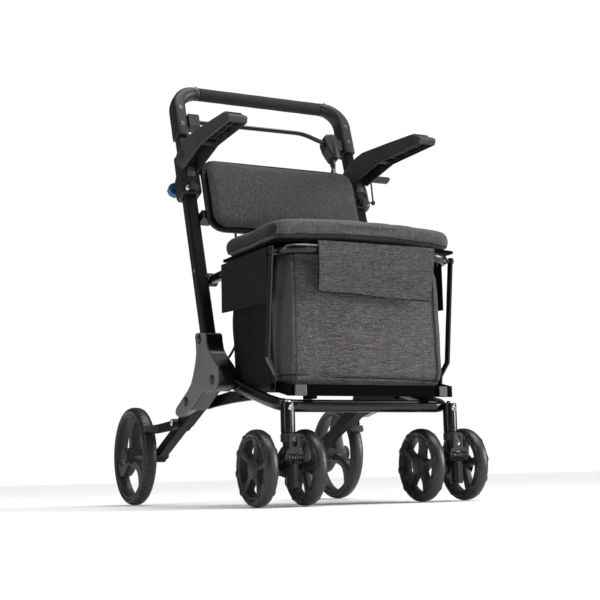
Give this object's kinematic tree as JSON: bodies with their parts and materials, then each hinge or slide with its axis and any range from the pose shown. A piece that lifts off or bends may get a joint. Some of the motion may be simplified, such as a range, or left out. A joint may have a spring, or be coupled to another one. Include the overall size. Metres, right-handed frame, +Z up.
{
  "type": "shopping walker",
  "caption": "Folding shopping walker with a height-adjustable push handle, armrests, padded backrest, seat over a bag, swivelling front casters and braked rear wheels.",
  "frame": {"origin": "on the ground, under the middle of the walker's box", "axes": "+Z up, -Y towards the front casters, +X towards the user's right hand when pushing"},
  "size_m": [0.525, 0.7034, 0.8595],
  "materials": {
    "black_frame": "satin black anodised tube",
    "black_plastic": "fine-grained black moulded plastic",
    "grey_plate": "grey painted cast plate, fine satin grain",
    "wheel_plastic": "smooth black moulded plastic",
    "tyre": "soft black rubber with a dusty tread",
    "cable_jacket": "glossy black cable jacket",
    "grip_foam": "matte black foam",
    "seat_fabric": "dark grey woven cover over foam",
    "bag_fabric": "dark grey woven cloth",
    "blue_plastic": "blue moulded plastic",
    "bright_steel": "bright plated steel"
  },
  "bodies": {
    "base": {"mast_left": "black_frame", "side_casting_left": "black_plastic", "side_plate_left": "grey_plate", "rear_leg_left": "black_frame", "clamp_left": "black_plastic", "brake_cable_left": "cable_jacket", "mast_right": "black_frame", "side_casting_right": "black_plastic", "side_plate_right": "grey_plate", "rear_leg_right": "black_frame", "clamp_right": "black_plastic", "brake_cable_right": "cable_jacket", "backrest_shell": "black_plastic", "backrest_pad": "seat_fabric"},
    "handle": {"grip": "grip_foam", "elbow_left": "black_plastic", "elbow_right": "black_plastic", "inner_tube_left": "black_frame", "inner_tube_right": "black_frame", "brake_housing": "black_plastic", "brake_bracket": "black_plastic"},
    "brake_bar": {"brake_bar": "black_frame"},
    "armrest_latch": {"latch_rod": "bright_steel", "paddle_lever": "black_plastic"},
    "seat_frame": {"seat_rail": "black_frame", "bag": "bag_fabric", "flap_front": "bag_fabric", "flap_side_left": "bag_fabric", "flap_side_right": "bag_fabric"},
    "seat_lid": {"seat_board": "black_plastic", "seat_cushion": "seat_fabric"},
    "front_frame": {"lower_frame": "black_frame", "tray": "black_plastic"},
    "rear_wheel_left": {"rear_tyre_left": "tyre", "rear_rim_left": "wheel_plastic"},
    "brake_arm_left": {"brake_arm_left": "black_plastic"},
    "armrest_left": {"armrest_left": "black_plastic"},
    "height_knob_left": {"height_knob_left": "blue_plastic"},
    "side_bar_left": {"side_bar_left": "black_frame"},
    "caster_left": {"caster_fork_left": "black_plastic", "caster_spring_left": "bright_steel"},
    "swivel_lock_left": {"swivel_lock_left": "black_plastic"},
    "front_wheel_left_a": {"front_tyre_left_a": "tyre", "front_hub_left_a": "wheel_plastic"},
    "front_wheel_left_b": {"front_tyre_left_b": "tyre", "front_hub_left_b": "wheel_plastic"},
    "rear_wheel_right": {"rear_tyre_right": "tyre", "rear_rim_right": "wheel_plastic"},
    "brake_arm_right": {"brake_arm_right": "black_plastic"},
    "armrest_right": {"armrest_right": "black_plastic"},
    "height_knob_right": {"height_knob_right": "blue_plastic"},
    "side_bar_right": {"side_bar_right": "black_frame"},
    "caster_right": {"caster_fork_right": "black_plastic", "caster_spring_right": "bright_steel"},
    "swivel_lock_right": {"swivel_lock_right": "black_plastic"},
    "front_wheel_right_a": {"front_tyre_right_a": "tyre", "front_hub_right_a": "wheel_plastic"},
    "front_wheel_right_b": {"front_tyre_right_b": "tyre", "front_hub_right_b": "wheel_plastic"}
  },
  "joints": [
    {"name": "fold", "type": "hinge", "parent": "base", "child": "front_frame", "pos_m": [0, 0.02345, 0.1985], "axis": [-1, 0, 0], "range_deg": [0, 35], "deforming": ["bag"]},
    {"name": "seat_fold", "type": "hinge", "parent": "base", "child": "seat_frame", "pos_m": [0, -0.00575, 0.433], "axis": [-1, 0, 0], "range_deg": [0, 35]},
    {"name": "seat_lid", "type": "hinge", "parent": "seat_frame", "child": "seat_lid", "pos_m": [0, -0.08325, 0.4385], "axis": [1, 0, 0], "range_deg": [-80, 0]},
    {"name": "handle_height", "type": "slide", "parent": "base", "child": "handle", "axis": [0, 0.2926, 0.9562], "range_m": [-0.035, 0.085], "deforming": ["brake_cable_left", "brake_cable_right"]},
    {"name": "brake_bar", "type": "hinge", "parent": "handle", "child": "brake_bar", "pos_m": [-0.172, 0.08626, 0.77471], "axis": [0, -0.9562, 0.2926], "range_deg": [0, 1.8], "stiffness_Nm_per_rad": 20, "springref_deg": -2.86},
    {"name": "armrest_latch", "type": "hinge", "parent": "base", "child": "armrest_latch", "pos_m": [0.1932, 0.02187, 0.62239], "axis": [1, 0, 0], "range_deg": [0, 12], "stiffness_Nm_per_rad": 0.5, "springref_deg": -17.19},
    {"name": "rear_wheel_left", "type": "hinge", "parent": "base", "child": "rear_wheel_left", "pos_m": [-0.2378, 0.25175, 0.1], "axis": [1, 0, 0], "continuous": true},
    {"name": "brake_arm_left", "type": "hinge", "parent": "base", "child": "brake_arm_left", "pos_m": [-0.196, 0.11389, 0.15948], "axis": [-1, 0, 0], "range_deg": [0, 6.5]},
    {"name": "armrest_left", "type": "hinge", "parent": "base", "child": "armrest_left", "pos_m": [-0.1932, 0.05404, 0.68993], "axis": [-1, 0, 0], "range_deg": [0, 60]},
    {"name": "height_knob_left", "type": "hinge", "parent": "base", "child": "height_knob_left", "pos_m": [-0.206, 0.08648, 0.6319], "axis": [0, 0.9562, -0.2926], "continuous": true},
    {"name": "side_bar_left", "type": "hinge", "parent": "seat_frame", "child": "side_bar_left", "pos_m": [-0.185, -0.30595, 0.4405], "axis": [-1, 0, 0], "range_deg": [-35, 0]},
    {"name": "caster_swivel_left", "type": "hinge", "parent": "front_frame", "child": "caster_left", "pos_m": [-0.1645, -0.31525, 0.14], "axis": [0, 0, 1], "continuous": true},
    {"name": "swivel_lock_left", "type": "hinge", "parent": "caster_left", "child": "swivel_lock_left", "pos_m": [-0.1645, -0.33675, 0.0824], "axis": [1, 0, 0], "range_deg": [0, 30], "stiffness_Nm_per_rad": 0.05, "springref_deg": -17.19},
    {"name": "front_wheel_left_a", "type": "hinge", "parent": "caster_left", "child": "front_wheel_left_a", "pos_m": [-0.2105, -0.28585, 0.0659], "axis": [1, 0, 0], "continuous": true},
    {"name": "front_wheel_left_b", "type": "hinge", "parent": "caster_left", "child": "front_wheel_left_b", "pos_m": [-0.1185, -0.28585, 0.0659], "axis": [1, 0, 0], "continuous": true},
    {"name": "rear_wheel_right", "type": "hinge", "parent": "base", "child": "rear_wheel_right", "pos_m": [0.2378, 0.25175, 0.1], "axis": [1, 0, 0], "continuous": true},
    {"name": "brake_arm_right", "type": "hinge", "parent": "base", "child": "brake_arm_right", "pos_m": [0.196, 0.11389, 0.15948], "axis": [-1, 0, 0], "range_deg": [0, 6.5]},
    {"name": "armrest_right", "type": "hinge", "parent": "base", "child": "armrest_right", "pos_m": [0.1932, 0.05404, 0.68993], "axis": [-1, 0, 0], "range_deg": [0, 60]},
    {"name": "height_knob_right", "type": "hinge", "parent": "base", "child": "height_knob_right", "pos_m": [0.206, 0.08648, 0.6319], "axis": [0, 0.9562, -0.2926], "continuous": true},
    {"name": "side_bar_right", "type": "hinge", "parent": "seat_frame", "child": "side_bar_right", "pos_m": [0.185, -0.30595, 0.4405], "axis": [-1, 0, 0], "range_deg": [-35, 0]},
    {"name": "caster_swivel_right", "type": "hinge", "parent": "front_frame", "child": "caster_right", "pos_m": [0.1645, -0.31525, 0.14], "axis": [0, 0, 1], "continuous": true},
    {"name": "swivel_lock_right", "type": "hinge", "parent": "caster_right", "child": "swivel_lock_right", "pos_m": [0.1645, -0.33675, 0.0824], "axis": [1, 0, 0], "range_deg": [0, 30], "stiffness_Nm_per_rad": 0.05, "springref_deg": -17.19},
    {"name": "front_wheel_right_a", "type": "hinge", "parent": "caster_right", "child": "front_wheel_right_a", "pos_m": [0.1185, -0.28585, 0.0659], "axis": [1, 0, 0], "continuous": true},
    {"name": "front_wheel_right_b", "type": "hinge", "parent": "caster_right", "child": "front_wheel_right_b", "pos_m": [0.2105, -0.28585, 0.0659], "axis": [1, 0, 0], "continuous": true}
  ],
  "couplings": [
    {"joint": "seat_fold", "follows": "fold", "ratio": 1},
    {"joint": "side_bar_left", "follows": "fold", "ratio": -1},
    {"joint": "brake_arm_left", "follows": "brake_bar", "ratio": 3.6},
    {"joint": "side_bar_right", "follows": "fold", "ratio": -1},
    {"joint": "brake_arm_right", "follows": "brake_bar", "ratio": 3.6}
  ]
}
